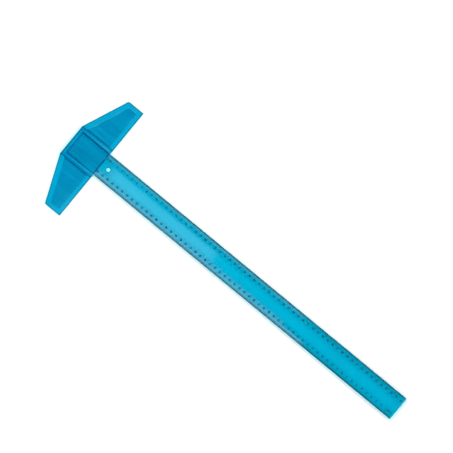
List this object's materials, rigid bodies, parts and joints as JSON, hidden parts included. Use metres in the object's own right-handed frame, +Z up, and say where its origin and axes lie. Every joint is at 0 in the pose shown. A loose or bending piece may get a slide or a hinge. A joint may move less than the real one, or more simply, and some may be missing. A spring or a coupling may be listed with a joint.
{
  "type": "t square",
  "caption": "Drafting T-square: a long ruler blade with bevelled scale edges slides into the sleeve of a flat, tapered cross head.",
  "frame": {"origin": "middle of the head's working edge, halfway up the base plate's front face", "axes": "+X along the blade away from the head, +Y along the head, +Z up out of the scale face"},
  "size_m": [0.669, 0.21, 0.0075],
  "materials": {
    "head_base_plastic": "clear blue, glossy",
    "head_cover_plastic": "clear blue, glossy",
    "blade_plastic": "clear blue, glossy, printed scales",
    "scale_ink": "printed ink"
  },
  "bodies": {
    "head": {"head_base": "head_base_plastic", "head_cover": "head_cover_plastic"},
    "blade": {"blade": "blade_plastic"}
  },
  "joints": [
    {"name": "blade_slide", "type": "slide", "parent": "head", "child": "blade", "axis": [1, 0, 0], "range_m": [0, 0.06]}
  ]
}
